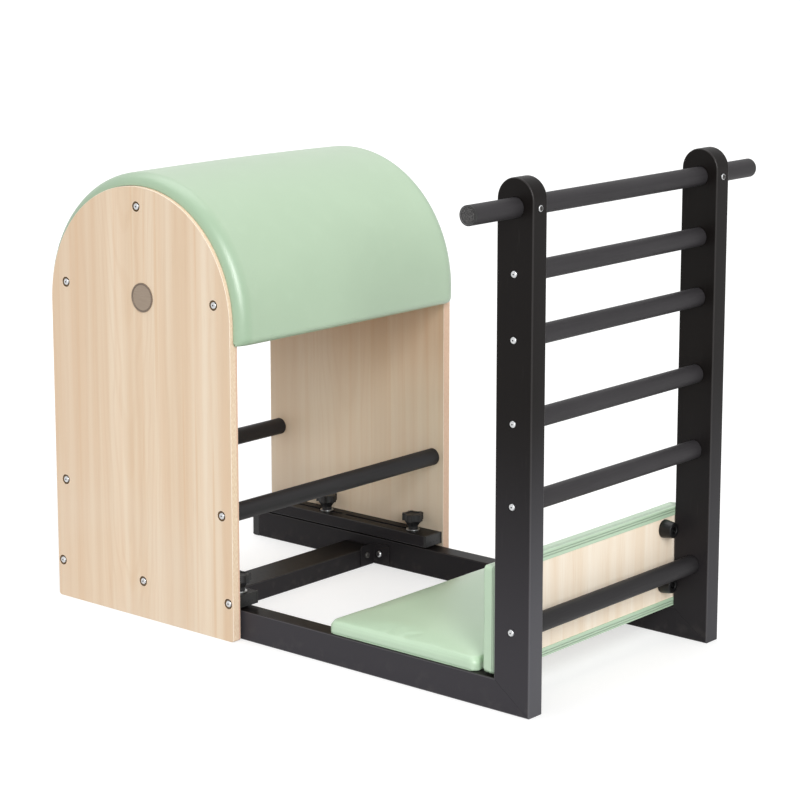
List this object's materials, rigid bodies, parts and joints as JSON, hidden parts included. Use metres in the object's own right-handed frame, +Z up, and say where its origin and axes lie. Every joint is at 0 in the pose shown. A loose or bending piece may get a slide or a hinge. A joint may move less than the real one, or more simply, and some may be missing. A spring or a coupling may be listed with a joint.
{
  "type": "pilates ladder barrel",
  "caption": "Padded barrel on plywood side panels that slides along a steel base towards a ladder of rungs, with a floor pad, a back pad and clamp knobs.",
  "frame": {"origin": "centre of the bounding box's bottom face, on the floor, halfway between the barrel's padding and the ladder's front edge", "axes": "+X from the barrel to the ladder, +Y from the near side to the far side, +Z up"},
  "size_m": [1.249, 0.877, 0.977],
  "materials": {
    "black_steel": "satin",
    "black_wood": "satin",
    "black_plastic": "satin",
    "black_rubber": "satin",
    "birch_ply": "satin",
    "pale_ply": "matte",
    "sage_vinyl": "satin",
    "zinc_steel": "satin"
  },
  "bodies": {
    "frame": {"near_upright": "black_steel", "near_base_rail": "black_steel", "near_bracket": "black_steel", "near_rail_plug": "black_plastic", "near_handle_plug": "black_plastic", "far_upright": "black_steel", "far_base_rail": "black_steel", "far_bracket": "black_steel", "far_rail_plug": "black_plastic", "far_handle_plug": "black_plastic", "cross_member": "black_steel", "top_rung": "black_steel", "second_rung": "black_wood", "near_second_rung_screw": "zinc_steel", "far_second_rung_screw": "zinc_steel", "third_rung": "black_wood", "near_third_rung_screw": "zinc_steel", "far_third_rung_screw": "zinc_steel", "fourth_rung": "black_wood", "near_fourth_rung_screw": "zinc_steel", "far_fourth_rung_screw": "zinc_steel", "fifth_rung": "black_wood", "near_fifth_rung_screw": "zinc_steel", "far_fifth_rung_screw": "zinc_steel", "bottom_rung": "black_wood", "near_bottom_rung_screw": "zinc_steel", "far_bottom_rung_screw": "zinc_steel", "back_pad_cushion": "sage_vinyl", "back_pad_board": "pale_ply", "near_upper_foot": "black_rubber", "near_lower_foot": "black_rubber", "far_upper_foot": "black_rubber", "far_lower_foot": "black_rubber"},
    "barrel": {"near_side_panel": "birch_ply", "near_slide_bar": "black_steel", "near_glide_strip": "black_plastic", "near_front_slide_plug": "black_plastic", "near_rear_slide_plug": "black_plastic", "far_side_panel": "birch_ply", "far_slide_bar": "black_steel", "far_glide_strip": "black_plastic", "far_front_slide_plug": "black_plastic", "far_rear_slide_plug": "black_plastic", "barrel_shell": "pale_ply", "front_batten": "pale_ply", "top_batten": "pale_ply", "rear_batten": "pale_ply", "barrel_padding": "sage_vinyl", "front_crossbar": "black_wood", "rear_crossbar": "black_wood"},
    "floor_pad": {"floor_pad_cushion": "sage_vinyl", "floor_pad_board": "pale_ply"},
    "near_front_clamp": {"near_front_knob": "black_plastic", "near_front_washer": "zinc_steel"},
    "near_rear_clamp": {"near_rear_knob": "black_plastic", "near_rear_washer": "zinc_steel"},
    "far_front_clamp": {"far_front_knob": "black_plastic", "far_front_washer": "zinc_steel"},
    "far_rear_clamp": {"far_rear_knob": "black_plastic", "far_rear_washer": "zinc_steel"}
  },
  "joints": [
    {"name": "barrel_slide", "type": "slide", "parent": "frame", "child": "barrel", "axis": [1, 0, 0], "range_m": [0, 0.15]},
    {"name": "floor_pad_lift", "type": "slide", "parent": "frame", "child": "floor_pad", "axis": [0, 0, 1], "range_m": [0, 0.15]},
    {"name": "near_front_knob_turn", "type": "hinge", "parent": "frame", "child": "near_front_clamp", "pos_m": [-0.114, -0.287, 0.1], "axis": [0, 0, 1], "continuous": true},
    {"name": "near_rear_knob_turn", "type": "hinge", "parent": "frame", "child": "near_rear_clamp", "pos_m": [-0.4005, -0.287, 0.1], "axis": [0, 0, 1], "continuous": true},
    {"name": "far_front_knob_turn", "type": "hinge", "parent": "frame", "child": "far_front_clamp", "pos_m": [-0.1485, 0.287, 0.1], "axis": [0, 0, 1], "continuous": true},
    {"name": "far_rear_knob_turn", "type": "hinge", "parent": "frame", "child": "far_rear_clamp", "pos_m": [-0.4005, 0.287, 0.1], "axis": [0, 0, 1], "continuous": true}
  ]
}
